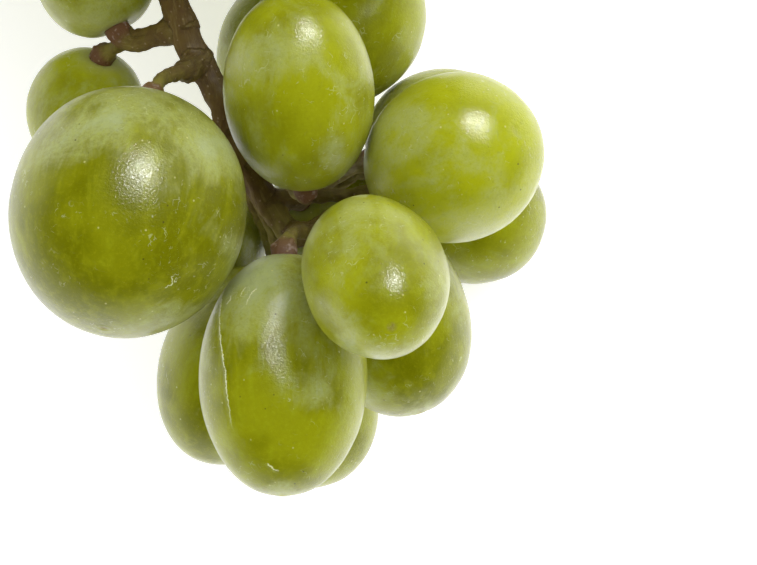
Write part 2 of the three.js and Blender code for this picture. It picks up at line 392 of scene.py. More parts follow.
class Recipe:
    """Builds one material: each call adds a node and returns the socket that comes out of it."""

    def __init__(self, name):
        self.material = bpy.data.materials.new(name)
        self.material.use_nodes = True
        self.tree = self.material.node_tree
        self.surface = self.tree.nodes["Principled BSDF"]

    def node(self, kind, inputs, output=0, **settings):
        made = self.tree.nodes.new("ShaderNode" + kind)
        for key, value in settings.items():
            setattr(made, key, value)
        self.feed(made, inputs)
        return made.outputs[output]

    def feed(self, node, inputs):
        """Links each socket to its input, and sets each plain value."""
        for key, value in inputs.items():
            if isinstance(value, bpy.types.NodeSocket):
                self.tree.links.new(value, node.inputs[key])
            else:
                node.inputs[key].default_value = value

    def place(self):
        """Where on the object, in metres."""
        return self.node("TexCoord", {}, "Object")

    def stored(self, name, output="Fac"):
        """What the mesh stores at its points under a name."""
        return self.node("Attribute", {}, output, attribute_name=name)

    def stretch(self, vector, scale):
        return self.node("Mapping", {"Vector": vector, "Scale": scale})

    def noise(self, vector, scale, detail=3.0, roughness=0.55, distortion=0.0):
        inputs = {"Vector": vector, "Scale": scale, "Detail": detail}
        inputs.update({"Roughness": roughness, "Distortion": distortion})
        return self.node("TexNoise", inputs)

    def cells(self, vector, scale, scatter=1.0):
        """The distance to the nearest of scattered dots."""
        return self.node("TexVoronoi", {"Vector": vector, "Scale": scale, "Randomness": scatter})

    def cracks(self, vector, scale):
        """The distance to the nearest wall between scattered cells."""
        inputs = {"Vector": vector, "Scale": scale}
        return self.node("TexVoronoi", inputs, feature="DISTANCE_TO_EDGE")

    def warp(self, vector, scale, amount):
        """The place shifted by noise, which bends what is drawn there."""
        shift = self.node("TexNoise", {"Vector": vector, "Scale": scale}, "Color")
        inputs = {0: shift, 1: (amount,) * 3, 2: vector}
        return self.node("VectorMath", inputs, operation="MULTIPLY_ADD")

    def sums(self, operation, a, b):
        return self.node("Math", {0: a, 1: b}, operation=operation)

    def times(self, a, b):
        return self.sums("MULTIPLY", a, b)

    def plus(self, a, b):
        return self.sums("ADD", a, b)

    def step(self, value, low, high, top=1.0):
        """0 at low, top at high, and an S-shaped step between."""
        inputs = {"Value": value, "From Min": low, "From Max": high, "To Max": top}
        return self.node("MapRange", inputs, interpolation_type="SMOOTHSTEP")

    def mix(self, share, a, b):
        """Colour a, with a share of colour b."""
        inputs = {0: share, 6: self.colour(a), 7: self.colour(b)}
        return self.node("Mix", inputs, 2, data_type="RGBA")

    def colour(self, value):
        return value if isinstance(value, bpy.types.NodeSocket) else (*value, 1.0)

    def bump(self, height, distance, strength, under=None):
        inputs = {"Height": height, "Distance": distance, "Strength": strength}
        if under is not None:
            inputs["Normal"] = under
        return self.node("Bump", inputs)

    def finish(self, **inputs):
        """Sets the surface's own sockets, named with _ for each space."""
        self.feed(self.surface, {key.replace("_", " "): value for key, value in inputs.items()})
        return self.material


# Colours of the marks on the skin.
VEIN = (0.38, 0.42, 0.012)
THICK_WAX = (0.43, 0.49, 0.26)
DEEP_GRIT = (0.2, 0.22, 0.01)
PALE_GRIT = (0.5, 0.53, 0.03)
PORE_DOT = (0.62, 0.6, 0.22)
DARK_SPECK = (0.06, 0.05, 0.01)
STALK_END = (0.6, 0.62, 0.3)
CREASE_LINE = (0.78, 0.8, 0.5)
SCRATCH = (0.66, 0.68, 0.36)
SCAR_DEEP = (0.2, 0.13, 0.06)
SCAR_PALE = (0.4, 0.31, 0.18)
SKIN_SHEEN = (0.9, 0.95, 0.8, 1.0)

# Colours of the marks on the stem.
BARK_PATCH = (0.09, 0.04, 0.018)
BARK_STREAK = (0.3, 0.23, 0.08)
PAD_RED = (0.16, 0.065, 0.035)
PAD_CHALK = (0.4, 0.3, 0.24)
BARK_DOT = (0.38, 0.28, 0.16)
CUT_WOOD = (0.42, 0.36, 0.2)

# Colours of the floor and the room.
FLOOR_PALE = (0.92, 0.92, 0.93)
FLOOR_DEEP = (0.86, 0.86, 0.88)
WHITE = (1.0, 1.0, 1.0, 1.0)


def skin_material(look):
    """Grape skin: translucent yellow-green flesh under a patchy wax bloom, with dots and marks.

    The grain attribute is millimetres in the berry's own frame, with z along it, so streaks follow
    the berry.
    """
    r = Recipe("grape skin")
    place = r.place()
    grain = r.stored("grain", "Vector")
    flesh_cloud = r.step(r.noise(place, 130, detail=2), 0.35, 0.65)
    long_grain = r.stretch(grain, (1, 1, 0.14))
    veins = r.noise(long_grain, 0.75, detail=3, roughness=0.6, distortion=0.4)
    veins = r.step(veins, 0.45, 0.72)
    # The flesh is deeper or paler by noise and by a tone stored for each berry.
    paleness = r.times(r.plus(flesh_cloud, r.stored("flesh_tone")), 0.5)
    flesh = r.mix(paleness, tuple(look.deep), tuple(look.light))
    flesh = r.mix(r.times(veins, 0.35), flesh, VEIN)

    # The wax lies in patches and smears, and windows in it are rubbed clear.
    patch = r.noise(grain, 0.17, detail=5, roughness=0.6, distortion=0.8)
    smear = r.stretch(grain, (1, 1, 0.3))
    smear = r.noise(smear, 0.5, detail=4, roughness=0.65, distortion=1.2)
    wax = r.plus(r.times(patch, 0.65), r.times(smear, 0.35))
    thick = r.step(r.plus(wax, r.stored("bloom")), 0.66, 0.86)
    wax = r.step(r.plus(wax, r.stored("bloom")), 0.44, 0.68)
    window = r.step(r.cells(r.stretch(grain, (1, 1, 0.6)), 0.3), 0.12, 0.42)
    wax = r.times(wax, r.plus(r.times(window, 0.7), 0.3))
    fine = r.step(r.noise(place, 2600, detail=3, roughness=0.7), 0.3, 0.6, top=0.35)
    wax = r.times(wax, r.plus(fine, 0.65))
    skin = r.mix(r.times(wax, 0.6), flesh, tuple(look.bloom))
    skin = r.mix(r.times(thick, 0.65), skin, THICK_WAX)

    # Grit, pale pores and a few dark specks.
    grit = r.noise(grain, 2.2, detail=5, roughness=0.75)
    skin = r.mix(r.step(grit, 0.5, 0.72, top=0.3), skin, DEEP_GRIT)
    skin = r.mix(r.step(grit, 0.5, 0.3, top=0.2), skin, PALE_GRIT)
    dot = r.step(r.cells(grain, 0.72, scatter=0.9), 0.11, 0.05)
    dot_here = r.step(r.noise(grain, 0.35, detail=1), 0.48, 0.56)
    skin = r.mix(r.times(r.times(dot, dot_here), 0.75), skin, PORE_DOT)
    speck = r.step(r.cells(grain, 0.5), 0.07, 0.03)
    speck_here = r.step(r.noise(grain, 0.22, detail=1), 0.5, 0.56)
    skin = r.mix(r.times(r.times(speck, speck_here), 0.8), skin, DARK_SPECK)

    # The pale stalk end, the creases, scratches in the wax and the scar of the flower.
    skin = r.mix(r.stored("pale"), skin, STALK_END)
    wander = r.noise(grain, 2.6, detail=3, roughness=0.6)
    wander = r.times(r.sums("SUBTRACT", wander, 0.5), 0.5)
    off_line = r.sums("ABSOLUTE", r.plus(r.stored("crease"), wander), 0.0)
    line = r.times(r.step(off_line, 0.1, 0.03), r.stored("crease_here"))
    skin = r.mix(r.times(line, 0.85), skin, CREASE_LINE)
    scratch = r.step(r.cracks(r.warp(grain, 0.8, amount=1.6), 0.9), 0.045, 0.015)
    scratch = r.times(scratch, r.step(r.noise(grain, 1.1, detail=2), 0.54, 0.64))
    scratch_here = r.noise(grain, 0.16, detail=2, roughness=0.6)
    scratch = r.times(scratch, r.step(scratch_here, 0.46, 0.6))
    skin = r.mix(r.times(scratch, 0.4), skin, SCRATCH)
    corky = r.step(r.noise(grain, 3.5, detail=3, roughness=0.6), 0.4, 0.6)
    corky = r.mix(corky, SCAR_DEEP, SCAR_PALE)
    skin = r.mix(r.times(r.stored("scar"), 0.7), skin, corky)

    rough = r.plus(r.times(r.step(wax, 0.0, 1.0), 0.12), 0.36)
    rough = r.plus(rough, r.times(r.stored("scar"), 0.3))
    pores = r.noise(place, 3400, detail=3, roughness=0.7)
    normal = r.bump(pores, distance=0.00007, strength=0.8)
    normal = r.bump(dot, distance=0.00004, strength=0.4, under=normal)
    normal = r.bump(line, distance=0.00006, strength=0.8, under=normal)
    return r.finish(
        Base_Color=skin,
        Roughness=rough,
        Normal=normal,
        Subsurface_Weight=1.0,
        Subsurface_Radius=(1.0, 1.0, 0.3),
        Subsurface_Scale=0.003,
        Specular_IOR_Level=0.12,
        Coat_Weight=0.8,
        Coat_IOR=1.36,
        Coat_Roughness=0.16,
        Coat_Normal=normal,
        Sheen_Weight=0.02,
        Sheen_Roughness=0.35,
        Sheen_Tint=SKIN_SHEEN,
    )


def stem_material(look):
    """Grape stem: olive-brown bark with fibres, corky dots, green young stalks and reddish pads.

    The fibre attribute runs round the bar in millimetres and slowly along it, so streaks follow the
    bar.
    """
    r = Recipe("stem bark")
    place = r.place()
    fibre = r.stored("fibre", "Vector")
    woody = r.stored("woody")
    pad = r.stored("pad")
    bark = r.mix(woody, tuple(look.young), tuple(look.wood))
    patches = r.noise(place, 420, detail=4, roughness=0.6, distortion=0.5)
    bark = r.mix(r.times(r.step(patches, 0.38, 0.66), 0.5), bark, BARK_PATCH)
    streak = r.noise(fibre, 2.4, detail=4, roughness=0.65)
    bark = r.mix(r.step(streak, 0.5, 0.75, top=0.45), bark, BARK_STREAK)
    bark = r.mix(r.times(pad, 0.8), bark, PAD_RED)
    chalk = r.step(r.noise(place, 900, detail=2), 0.56, 0.7)
    bark = r.mix(r.times(r.times(pad, chalk), 0.7), bark, PAD_CHALK)
    cork = r.step(r.cells(place, 1100), 0.2, 0.08)
    bark = r.mix(r.times(cork, 0.6), bark, BARK_DOT)
    bark = r.mix(r.stored("cut"), bark, CUT_WOOD)
    normal = r.bump(streak, distance=0.0002, strength=0.9)
    normal = r.bump(cork, distance=0.00008, strength=0.8, under=normal)
    return r.finish(
        Base_Color=bark,
        Roughness=r.plus(r.times(streak, 0.2), 0.5),
        Normal=normal,
        Specular_IOR_Level=0.2,
        Subsurface_Weight=0.15,
        Subsurface_Radius=(1.0, 0.7, 0.2),
        Subsurface_Scale=0.0008,
    )


def floor_material(look):
    """The plain pale floor, matt and faintly mottled."""
    r = Recipe("floor")
    mottle = r.noise(r.place(), 40, detail=2)
    return r.finish(
        Base_Color=r.mix(r.times(mottle, 0.05), FLOOR_PALE, FLOOR_DEEP),
        Roughness=0.9,
        Specular_IOR_Level=0.1,
        Emission_Color=WHITE,
        Emission_Strength=look.glow,
    )


# --------------------------------------------------------------------------------------------------
# Berries
# --------------------------------------------------------------------------------------------------


# Sizes in millimetres, unless they are said to be shares. A bell is its height and its width.
OFF_FLOOR = 0.05  # CAD points below this lie on the flat where the berry rests
POLE_POINTS = 6  # so many nearest stem points tell at which end the stalk is
BLUNT = 0.004, 0.014  # how much fuller than a spheroid, as shares of its radius
EGG = -0.03, 0.02  # how much fuller towards the stalk, as shares
RIBS = 0.02, 0.07  # the least and the greatest height of a rib
RIB_COUNTS = (2, 3, 5)
LUMP_SIZE, SMALL_LUMP_SIZE = 0.8, 0.22  # shares of the berry's radius
SMALL_LUMPS = 0.25  # their height, as a share of the large ones'
STALK_DIMPLE = 0.55, 1.7
TIP_DIMPLE = 0.12, 2.2
SCAR_SIZE = 0.3, 0.45  # the least and the greatest
SCAR_DEPTH = 0.12
SCAR_RIM = 0.05, 0.25
RIM_PLACE = 1.9  # how far from the tip the rim is, as a share of the scar's size
FLAT_EASE, FLAT_SHARE = 0.3, 0.75  # how softly a flat begins, and how much of what is past it goes
FLOOR_EASE = 0.15  # how softly the flat on the floor begins
WAX_BY_CHANCE = -0.1, 0.04
WAX_TO_STALK = 0.12
FLESH_TONE_BY_CHANCE = 0.1, 0.7
CREASE_WIDTH = 0.2
CREASE_STEP = 0.25
NO_CREASE = 9.0  # the distance that is stored where there is no crease
TOUCH_GAP = 0.03  # how far each skin stays from the plane on which two berries touch


class Berry:
    """A berry as the frame has it: a spheroid's middle, two half lengths and the way to its stalk.

    The points p of the CAD solid that are off the surface lie on p'Ap + 2b'p = 1, which is solved
    by least squares. The middle is -A^-1 b, and the axes are those of A.
    """

    def __init__(self, key, stem_points):
        self.key = key
        self.seed = sorted(berry_keys()).index(key) + 1
        points = mesh_points(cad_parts[f"berry_{key}"])
        points = points[points[:, 2] > OFF_FLOOR]
        rough_middle = points.mean(0)
        x, y, z = (points - rough_middle).T
        terms = [x * x, y * y, z * z, 2 * x * y, 2 * y * z, 2 * z * x, 2 * x, 2 * y, 2 * z]
        found = np.linalg.lstsq(np.stack(terms, 1), np.ones(len(x)), rcond=None)[0]
        xx, yy, zz, xy, yz, zx = found[:6]
        form = np.array([[xx, xy, zx], [xy, yy, yz], [zx, yz, zz]])
        offset = -np.linalg.solve(form, found[6:])
        values, axes = np.linalg.eigh(form / (1 + offset @ form @ offset))
        self.middle = rough_middle + offset
        self.half = values[0] ** -0.5
        self.wide = np.mean(values[1:] ** -0.5)
        ends = self.middle + np.outer([1, -1], axes[:, 0]) * self.half
        gaps = np.linalg.norm(stem_points[None] - ends[:, None], axis=2)
        nearest = np.sort(gaps, axis=1)[:, :POLE_POINTS].mean(1)
        self.stalk = axes[:, 0] if nearest[0] < nearest[1] else -axes[:, 0]
        guide = UP if abs(self.stalk[2]) < STEEP else AHEAD
        self.face = unit(guide - self.stalk * (guide @ self.stalk))
        self.side = np.cross(self.face, self.stalk)

    def reach(self, direction):
        """How far the spheroid goes from its middle along a unit direction."""
        along = direction @ self.stalk
        return 1 / np.sqrt((along / self.half) ** 2 + (1 - along**2) / self.wide**2)


def berry_keys():
    """The berries' names in the frame, without their first word."""
    return [name.split("_")[1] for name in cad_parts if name.startswith("berry_")]


BERRIES = {}


def read_berries():
    """Fits every berry once."""
    if not BERRIES:
        stem_points = mesh_points(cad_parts["stem"])
        BERRIES.update({key: Berry(key, stem_points) for key in berry_keys()})
    return BERRIES


def berry_shape(berry, rows, look):
    """The skin of one berry on a grid of two parameters, with what its material reads.

    One parameter runs from the stalk's end to the tip, the other round the berry. The radius is the
    spheroid's, blunted by sin^2 of twice the first angle, egg-shaped by its cosine, ribbed by slow
    cosines of the turn, and made uneven by noise. The stalk sits in a bell-shaped dimple, and the
    dry scar of the flower at the tip is a pit with a rim.
    """
    columns = rows + rows // 4
    t = (np.arange(rows) + 0.5) / rows
    along = np.pi * (t - 0.7 * np.sin(2 * np.pi * t) / (2 * np.pi))
    turn = 2 * np.pi * np.arange(columns) / columns
    a = np.concatenate([np.repeat(along, columns), [0, np.pi]])
    b = np.concatenate([np.tile(turn, rows), [0, 0]])
    chance = np.random.default_rng(berry.seed)

    blunt = 1 + chance.uniform(*BLUNT) * np.sin(2 * a) ** 2
    egg = 1 + chance.uniform(*EGG) * np.cos(a) * np.sin(a)
    wide = berry.wide * blunt * egg
    half = berry.half * blunt
    sphere = np.stack([np.sin(a) * np.cos(b), np.sin(a) * np.sin(b), np.cos(a)], 1)
    ribs = sum(
        chance.uniform(*RIBS) * np.cos(n * b + chance.uniform(0, 6.3)) for n in RIB_COUNTS
    )
    lumps = look.lumps / MM * cloud(sphere, LUMP_SIZE, berry.seed) + look.growth / MM
    lumps += SMALL_LUMPS * look.lumps / MM * cloud(sphere, SMALL_LUMP_SIZE, berry.seed + 50)
    rise = lumps + ribs * np.sin(a) ** 2
    local = sphere * np.stack([wide, wide, half], 1) + sphere * rise[:, None]

    off_axis = np.hypot(local[:, 0], local[:, 1])
    stalk_end = a < np.pi / 2
    tip_end = ~stalk_end
    local[:, 2] -= stalk_end * bell(off_axis, *STALK_DIMPLE)
    scar_size = chance.uniform(*SCAR_SIZE)
    plain = SCARS.get(berry.key, 1.0)
    pit = bell(off_axis, SCAR_DEPTH, scar_size) - bell(off_axis - RIM_PLACE * scar_size, *SCAR_RIM)
    local[:, 2] += tip_end * (bell(off_axis, *TIP_DIMPLE) + plain * pit)

    turned = np.stack([berry.side, berry.face, berry.stalk])
    points = berry.middle + local @ turned
    if berry.key in FLATS:
        way, depth = FLATS[berry.key]
        way = unit(np.array(way))
        past = (points - berry.middle) @ way - (berry.reach(way) - depth)
        points = points - FLAT_SHARE * ramp(past, FLAT_EASE)[:, None] * way
    points = meet_neighbours(berry, points)
    points[:, 2] = ramp(points[:, 2], FLOOR_EASE)

    # Each berry reads its patterns at a place of its own.
    offset = chance.uniform(-200, 200, 3)
    scar = tip_end * smooth(1.7 * scar_size, 0.5 * scar_size, off_axis)
    scar = plain * scar * smooth(-0.6, 0.4, cloud(points, 0.35, berry.seed) + 0.3)
    if berry.key in WAX_SPOTS:
        bloom = wax_spots(berry, points)
    else:
        bloom = WAX_TO_STALK * np.cos(a) + chance.uniform(*WAX_BY_CHANCE)
    pale = stalk_end * 0.3 * smooth(4.0, 1.5, off_axis)
    flesh_tone = np.full(len(points), FLESH_TONE.get(berry.key, chance.uniform(*FLESH_TONE_BY_CHANCE)))
    stored = {"grain": local + offset, "bloom": bloom, "scar": scar, "pale": pale, "flesh_tone": flesh_tone}
    if berry.key in CREASES:
        nearest, here = np.full(len(points), NO_CREASE), np.zeros(len(points))
        for route, ridge in CREASES[berry.key]:
            gap, fade, way_out = crease(berry, points, route)
            points = points + way_out * (bell(gap, ridge, CREASE_WIDTH) * fade)[:, None]
            nearer = (fade > 0) & (np.abs(gap) < np.abs(nearest))
            nearest, here = np.where(nearer, gap, nearest), np.where(nearer, fade, here)
        stored.update({"crease": nearest, "crease_here": here})
    return points, closed_grid_faces(rows, columns), stored


def wax_spots(berry, points):
    """The wax over a near berry: a sum of bells round its spots, on its upper side."""
    away = (points - berry.middle) / berry.wide
    upper = smooth(-0.5, 0.3, away[:, 2])
    total = np.zeros(len(points))
    for x, y, width, amount in WAX_SPOTS[berry.key]:
        total += bell(np.hypot(away[:, 0] - x, away[:, 1] - y), amount, width)
    return total * upper


def crease(berry, points, route):
    """How far each point is to the side of a crease, how much of it is there, and the way outwards.

    The route's points are put on the spheroid and joined by a smooth curve. The distance is square
    to the curve at its nearest point, and below 0 on its left. The crease fades to its two ends.
    """
    along, turn = np.array(route, float).T
    turn = np.radians(turn)
    radius = berry.wide * np.sqrt(1 - (along / berry.half) ** 2)
    left = berry.side * -np.sign(berry.side[0])
    spoke = np.cos(turn)[:, None] * berry.face + np.sin(turn)[:, None] * left
    line = berry.middle + along[:, None] * berry.stalk + radius[:, None] * spoke
    line, length = resample(line, CREASE_STEP)
    way_out = unit(points - berry.middle)
    nearest = (way_out @ unit(line - berry.middle).T).argmax(1)
    along_line = unit(np.gradient(line, axis=0))[nearest]
    aside = points - line[nearest]
    gap = (aside * unit(np.cross(way_out, along_line))).sum(1)
    beyond = np.abs((aside * along_line).sum(1))
    progress = length[nearest] / length[-1]
    fade = smooth(0, 0.15, progress) * smooth(1, 0.75, progress) * smooth(0.6, 0.3, beyond)
    return gap, fade, way_out


def meet_neighbours(berry, points):
    """Flattens the skin where a neighbour touches it, on a plane between the two by their sizes."""
    for other in read_berries().values():
        between = other.middle - berry.middle
        distance = np.linalg.norm(between)
        between = between / max(distance, 1e-9)
        reaches = berry.reach(between), other.reach(-between)
        if other is berry or distance > sum(reaches) + 1:
            continue
        wall = distance * reaches[0] / sum(reaches) - TOUCH_GAP
        past = (points - berry.middle) @ between - wall
        points = points - np.maximum(past, 0)[:, None] * between
    return points


def make_berries(keys, settings, material):
    """Makes each named berry and puts it in place of its CAD solid."""
    berries = read_berries()
    for key in keys:
        rows = settings.fine_rows if key in WAX_SPOTS else settings.plain_rows
        points, faces, stored = berry_shape(berries[key], rows, settings)
        piece = new_piece(f"grape_{key}", points, faces, material)
        for name, values in stored.items():
            note(piece.data, name, values)
        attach(piece, BODY)
        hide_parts(f"berry_{key}")


def shared_material(name, make, settings):
    """The named material, made on first use."""
    return bpy.data.materials.get(name) or make(settings)


class GRAPES_OT_lower_berries(Operator):
    """Make the berries of the open lower end"""

    bl_idname = "grapes.lower_berries"
    bl_label = "Lower berries"

    def execute(self, context):
        settings = context.scene.grape_berries
        material = shared_material("grape skin", skin_material, settings)
        keys = sorted(key for key in berry_keys() if key[0] in LOWER_ROOTS)
        make_berries(keys, settings, material)
        return {"FINISHED"}


class GRAPES_OT_upper_berries(Operator):
    """Make the berries of the full upper end"""

    bl_idname = "grapes.upper_berries"
    bl_label = "Upper berries"

    def execute(self, context):
        settings = context.scene.grape_berries
        material = shared_material("grape skin", skin_material, settings)
        keys = sorted(key for key in berry_keys() if key[0] in UPPER_ROOTS)
        make_berries(keys, settings, material)
        return {"FINISHED"}


# --------------------------------------------------------------------------------------------------
# Stem
# --------------------------------------------------------------------------------------------------


# The stem's bars in millimetres. A bell is the height and the width by which a bar swells at a
# joint.
BAR_SIDES = 14
RACHIS_STEP, BRANCH_STEP, STALK_STEP = 0.6, 0.5, 0.35
RACHIS_JOINT = 0.32, 1.6
BRANCH_RADIUS, BRANCH_ROOT, BRANCH_FORK = 1.15, (0.6, 1.6), (0.35, 1.5)
STALK_RADIUS, STALK_ROOT = 0.82, (0.35, 1.4)
PAD_FLARE = 0.66
PAD_GAP, PAD_SINK = 0.3, 0.9  # from the berry's pole out to the pad, and from there into the dimple
LEAD = 4  # how far from the pad a stalk points straight at its berry
BRANCH_ROOM, STALK_ROOM = 1.7, 1.35  # how far a bar's middle keeps from the berries
PUSHES = 40  # so many times a fork is pushed out of the berries
EASING = 0.1  # how far a path's point eases in a round
FORK_SHARE = 0.3  # where a side branch forks, as a share of the way to its berries
BRANCH_WOODY, STALK_WOODY = 0.8, 0.7  # shares
NO_PAD = 99.0  # the distance to the pad on a bar that has none
CUT_END = 66.6, 66.9  # the cut face begins and ends at these heights along the rachis
# The bark's relief: the height of each noise and the size of its lumps.
RIDGES, KNOBS, GRAINS = (0.15, 0.55), (0.14, 0.9), (0.07, 0.42)
WART_HEIGHT, WART_SIZE = 0.16, 0.75
BLOCK = 8192  # points that are matched with rings at a time


def uneven(radius, path, share, size, seed):
    """A bar's radius made uneven along its path by noise, by a share of it."""
    return radius * (1 + share * cloud(path, size, seed))


def rachis_at(y):
    """The rachis at a height y along it: x, y, z and diameter."""
    order = np.argsort(RACHIS[:, 1])
    return np.array([np.interp(y, RACHIS[order, 1], RACHIS[order, i]) for i in range(4)])


class Crowd:
    """All the berries as arrays, to keep the stem's paths off them."""

    def __init__(self, berries):
        self.middle = np.array([b.middle for b in berries])
        self.stalk = np.array([b.stalk for b in berries])
        self.half = np.array([b.half for b in berries])
        self.wide = np.array([b.wide for b in berries])

    def push(self, point, room):
        """Moves a point straight out of the berry that it is deepest in, grown by room."""
        away = point - self.middle
        along = (away * self.stalk).sum(1)
        across = np.sqrt(np.maximum(0, (away**2).sum(1) - along**2))
        share = np.hypot(along / (self.half + room), across / (self.wide + room))
        i = share.argmin()
        return point if share[i] >= 1 else self.middle[i] + away[i] / max(share[i], 0.2)

    def clear(self, path, room, rounds=20):
        """Bends a path clear of the berries, keeping its ends.

        In each round a point eases towards its neighbours' middle, and is pushed out of the
        berries.
        """
        path = path.copy()
        for _ in range(rounds):
            for i in range(1, len(path) - 1):
                path[i] += EASING * ((path[i - 1] + path[i + 1]) / 2 - path[i])
                path[i] = self.push(self.push(path[i], room), room)
        return path


def resample(path, spacing):
    """A Catmull-Rom curve through the path's points, cut into equal steps near the spacing."""
    ends = [2 * path[0] - path[1]], [2 * path[-1] - path[-2]]
    p = np.concatenate([ends[0], path, ends[1]])
    t = np.linspace(0, 1, 12, endpoint=False)[None, :, None]
    p0, p1, p2, p3 = (p[i : len(p) - 3 + i, None] for i in range(4))
    square, cube = 2 * p0 - 5 * p1 + 4 * p2 - p3, 3 * p1 - p0 - 3 * p2 + p3
    curve = 0.5 * (2 * p1 + (p2 - p0) * t + square * t**2 + cube * t**3)
    curve = np.concatenate([curve.reshape(-1, 3), path[-1:]])
    length = np.concatenate([[0], np.linalg.norm(np.diff(curve, axis=0), axis=1).cumsum()])
    steps = max(4, round(length[-1] / spacing))
    even = np.linspace(0, length[-1], steps + 1)
    return np.stack([np.interp(even, length, curve[:, i]) for i in range(3)], 1), even


def bar(path, radius):
    """A round bar: a ring of the given radius square to each point of the path, and two ends.

    The rings don't twist: each one's first direction is the last one's, made square to the path
    again.
    """
    tangent = unit(np.gradient(path, axis=0))
    first = np.cross(tangent[0], UP if abs(tangent[0][2]) < STEEP else AHEAD)
    across = [unit(first)]
    for direction in tangent[1:]:
        across.append(unit(across[-1] - direction * (across[-1] @ direction)))
    across = np.array(across)
    other = np.cross(tangent, across)
    turn = 2 * np.pi * np.arange(BAR_SIDES)[:, None] / BAR_SIDES
    ring = np.cos(turn) * across[:, None] + np.sin(turn) * other[:, None]
    rings = path[:, None] + ring * radius[:, None, None]
    return np.concatenate([rings.reshape(-1, 3), path[:1], path[-1:]]), tangent


class Skeleton:
    """Collects the stem's bars, with each ring's middle, way, length, woodiness and pad gap."""

    def __init__(self):
        self.points, self.faces, self.rings = [], [], []
        self.count = 0

    def add(self, path, length, radius, woody, pad_gap):
        points, tangent = bar(path, radius)
        self.points.append(points)
        self.faces += closed_grid_faces(len(path), BAR_SIDES, self.count, flipped=True)
        self.count += len(points)
        facts = np.stack(np.broadcast_arrays(length, woody, pad_gap), 1)
        self.rings.append(np.concatenate([path, tangent, facts], 1))


def stem_skeleton(berries):
    """Rachis, side branches and stalks, by the rules that the frame's own stem follows.

    A side branch goes from its root on the rachis 0.3 of the way to its berries and forks there. A
    stalk leaves the fork along the branch and meets its berry square on. Each bar swells by bells
    at its joints.
    """
    crowd = Crowd(list(berries.values()))
    skeleton = Skeleton()
    rachis, length = resample(RACHIS[:, :3], RACHIS_STEP)
    radius = np.interp(-rachis[:, 1], -RACHIS[:, 1], RACHIS[:, 3]) / 2
    for root in ROOTS.values():
        radius = radius + bell(rachis[:, 1] - root, *RACHIS_JOINT)
    radius = uneven(radius, rachis, share=0.07, size=3.0, seed=3)
    skeleton.add(rachis, length, radius, smooth(-37.5, -31, rachis[:, 1]), NO_PAD)
    for letter, root_y in ROOTS.items():
        group = [berry for key, berry in berries.items() if key[0] == letter]
        root = rachis_at(root_y)[:3]
        poles = np.mean([berry.middle + berry.stalk * berry.half for berry in group], axis=0)
        fork = root + FORK_SHARE * (poles - root)
        for _ in range(PUSHES):
            fork = crowd.push(fork, BRANCH_ROOM)
        lateral = crowd.clear(np.array([root, (root + fork) / 2, fork]), BRANCH_ROOM)
        path, length = resample(lateral, BRANCH_STEP)
        radius = BRANCH_RADIUS + bell(length, *BRANCH_ROOT)
        radius = radius + bell(length[-1] - length, *BRANCH_FORK)
        radius = uneven(radius, path, share=0.1, size=1.6, seed=11)
        skeleton.add(path, length, radius, BRANCH_WOODY, NO_PAD)
        for berry in group:
            add_stalk(skeleton, crowd, root, fork, berry)
    return skeleton


def add_stalk(skeleton, crowd, root, fork, berry):
    """One berry's stalk: a cubic from the fork, where it is swollen, to its pad, where it flares."""
    end = berry.middle + berry.stalk * (berry.half + PAD_GAP)
    lead = end + berry.stalk * LEAD
    out = fork + 0.5 * (fork - root)
    t = np.linspace(0, 1, 9)[:, None]
    u = 1 - t
    cubic = u**3 * fork + 3 * u**2 * t * out + 3 * u * t**2 * lead + t**3 * end
    cubic = crowd.clear(cubic, STALK_ROOM)
    path, length = resample(np.concatenate([cubic, [end - PAD_SINK * berry.stalk]]), STALK_STEP)
    pad_gap = length[-1] - length
    radius = STALK_RADIUS + bell(length, *STALK_ROOT) + PAD_FLARE * smooth(3.4, 1.1, pad_gap) ** 1.5
    radius = uneven(radius, path, share=0.1, size=1.1, seed=23)
    skeleton.add(path, length, radius, smooth(9, 0, length) * STALK_WOODY, pad_gap)


def nearest_rings(points, rings):
    """For each point, the ring whose middle is nearest, in blocks so that the tables stay small."""
    found = np.empty(len(points), np.int64)
    middles = rings[:, :3].astype(np.float32)
    squares = (middles**2).sum(1)
    for start in range(0, len(points), BLOCK):
        block = points[start : start + BLOCK].astype(np.float32)
        found[start : start + BLOCK] = (squares - 2 * block @ middles.T).argmin(1)
    return found


